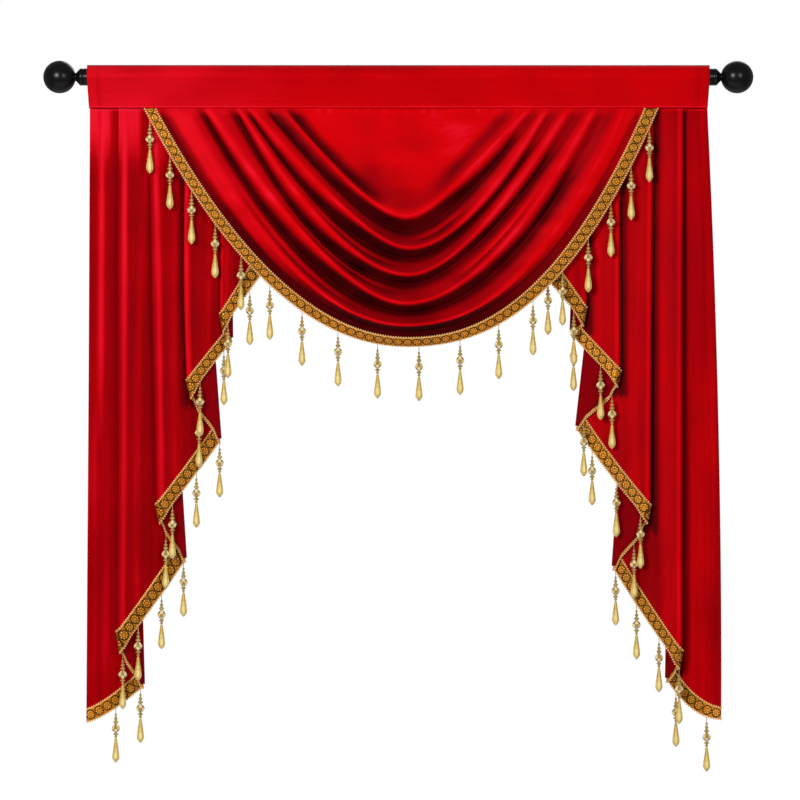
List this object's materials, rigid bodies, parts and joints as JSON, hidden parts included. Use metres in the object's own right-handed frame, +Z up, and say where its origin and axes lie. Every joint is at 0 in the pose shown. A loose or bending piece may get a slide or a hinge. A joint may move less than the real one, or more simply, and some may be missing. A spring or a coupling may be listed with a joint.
{
  "type": "velvet valance with curtain rod",
  "caption": "Red velvet valance with a draped centre swag, knife-pleated side tails and gold braid with crystal drops, hung on a round black rod with ball finials.",
  "frame": {"origin": "the curtain rod's axis at its mid-length", "axes": "+X along the rod, to the right as seen from the room; -Y towards the room; +Z up"},
  "size_m": [1.1646, 0.0603, 1.1684],
  "materials": {
    "velvet": "satin-sheened velvet",
    "gold_trim": "woven gold braid with clear amber drops",
    "black_metal": "satin"
  },
  "bodies": {
    "root": {"header": "velvet", "swag": "velvet", "left_tail": "velvet", "right_tail": "velvet", "swag_trim": "gold_trim", "left_tail_trim": "gold_trim", "right_tail_trim": "gold_trim", "rod": "black_metal", "left_finial": "black_metal", "right_finial": "black_metal"}
  },
  "joints": []
}
